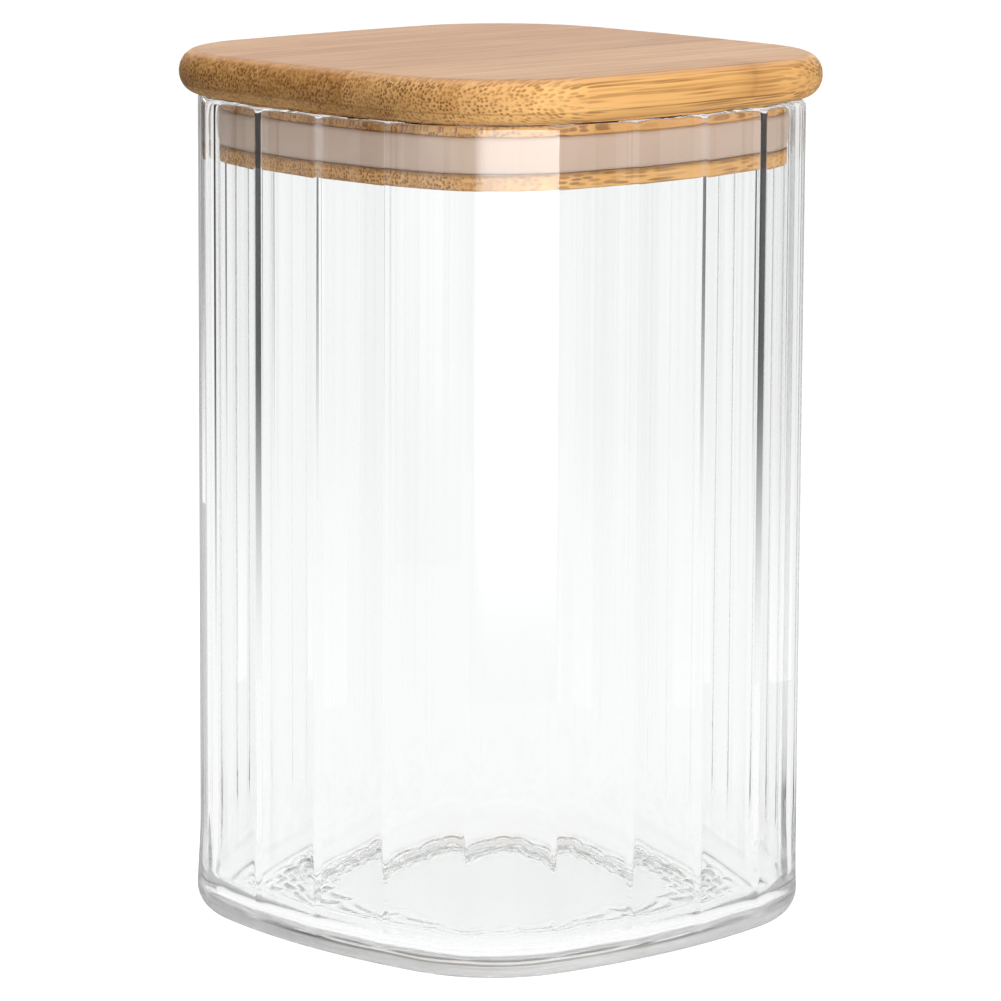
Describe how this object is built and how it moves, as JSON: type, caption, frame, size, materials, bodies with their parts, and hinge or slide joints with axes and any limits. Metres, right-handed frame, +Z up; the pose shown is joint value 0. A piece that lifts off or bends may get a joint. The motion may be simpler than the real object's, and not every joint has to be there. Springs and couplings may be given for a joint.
{
  "type": "lidded glass canister",
  "caption": "Square fluted glass storage jar with bowed sides and a lift-off laminated bamboo lid, sealed by a silicone band round its plug.",
  "frame": {"origin": "on the surface it stands on, under the middle of the jar", "axes": "+Z up through the lid; +X along the grain of the bamboo; +Y across it"},
  "size_m": [0.1018, 0.1018, 0.1632],
  "materials": {
    "glass": "clear, smooth, thin walled",
    "silicone": "translucent milky silicone, satin",
    "bamboo_face": "caramelised bamboo, fine sanded, satin",
    "bamboo_core": "bamboo, fine sanded, satin",
    "bamboo_plug": "bamboo, fine sanded, satin"
  },
  "bodies": {
    "jar": {"glass_jar": "glass"},
    "lid": {"face_strip_1": "bamboo_face", "face_strip_2": "bamboo_face", "face_strip_3": "bamboo_face", "face_strip_4": "bamboo_face", "face_strip_5": "bamboo_face", "core_strip_1": "bamboo_core", "core_strip_2": "bamboo_core", "core_strip_3": "bamboo_core", "core_strip_4": "bamboo_core", "plug_strip_1": "bamboo_plug", "plug_strip_2": "bamboo_plug", "plug_strip_3": "bamboo_plug", "plug_strip_4": "bamboo_plug", "plug_strip_5": "bamboo_plug", "silicone_seal": "silicone"}
  },
  "joints": [
    {"name": "lid_lift", "type": "slide", "parent": "jar", "child": "lid", "axis": [0, 0, 1], "range_m": [0, 0.06]}
  ]
}
